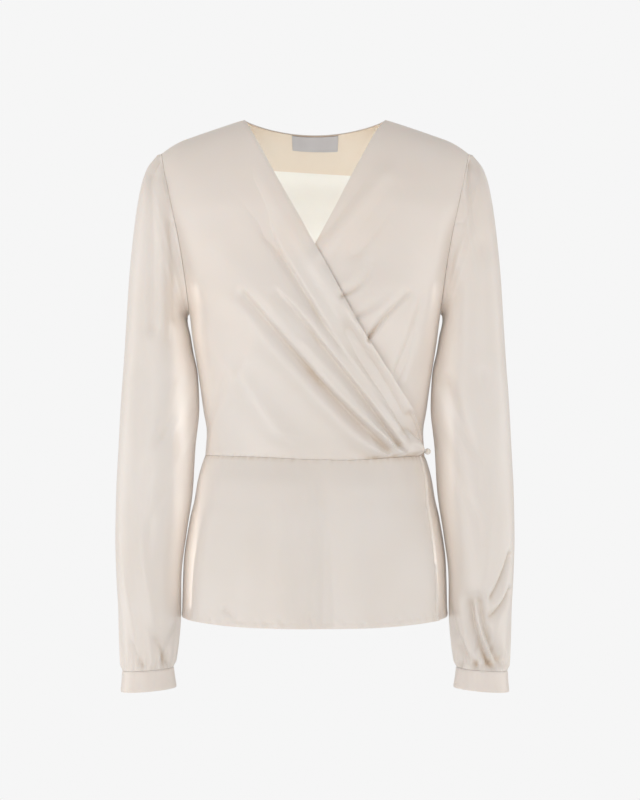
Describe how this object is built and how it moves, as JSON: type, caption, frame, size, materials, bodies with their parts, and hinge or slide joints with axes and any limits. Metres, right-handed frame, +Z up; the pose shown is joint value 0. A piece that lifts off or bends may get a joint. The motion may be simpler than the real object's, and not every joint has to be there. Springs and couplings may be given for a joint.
{
  "type": "wrap top",
  "caption": "Long-sleeved satin wrap top, filled out as if worn, with a V neck, draped wrap front, short peplum and a side button with a loop.",
  "frame": {"origin": "midway between the inner ends of the two shoulder seams, where the garment hangs on a wearer", "axes": "+Z up, the wearer faces -Y, the wearer's left is +X"},
  "size_m": [0.4756, 0.2285, 0.6823],
  "materials": {
    "ivory_satin": "satin, soft sheen",
    "pale_ivory": "satin wrong side, dull",
    "label_tape": "woven tape, matt",
    "pearl": "pearl lustre"
  },
  "bodies": {
    "root": {"right_front": "ivory_satin", "left_front": "ivory_satin", "back": "ivory_satin", "back_neck_facing": "pale_ivory", "label": "label_tape", "peplum_front": "ivory_satin", "peplum_under": "ivory_satin", "peplum_back": "ivory_satin", "right_sleeve": "ivory_satin", "left_sleeve": "ivory_satin", "right_cuff": "ivory_satin", "left_cuff": "ivory_satin", "button": "pearl", "button_loop": "ivory_satin"}
  },
  "joints": []
}
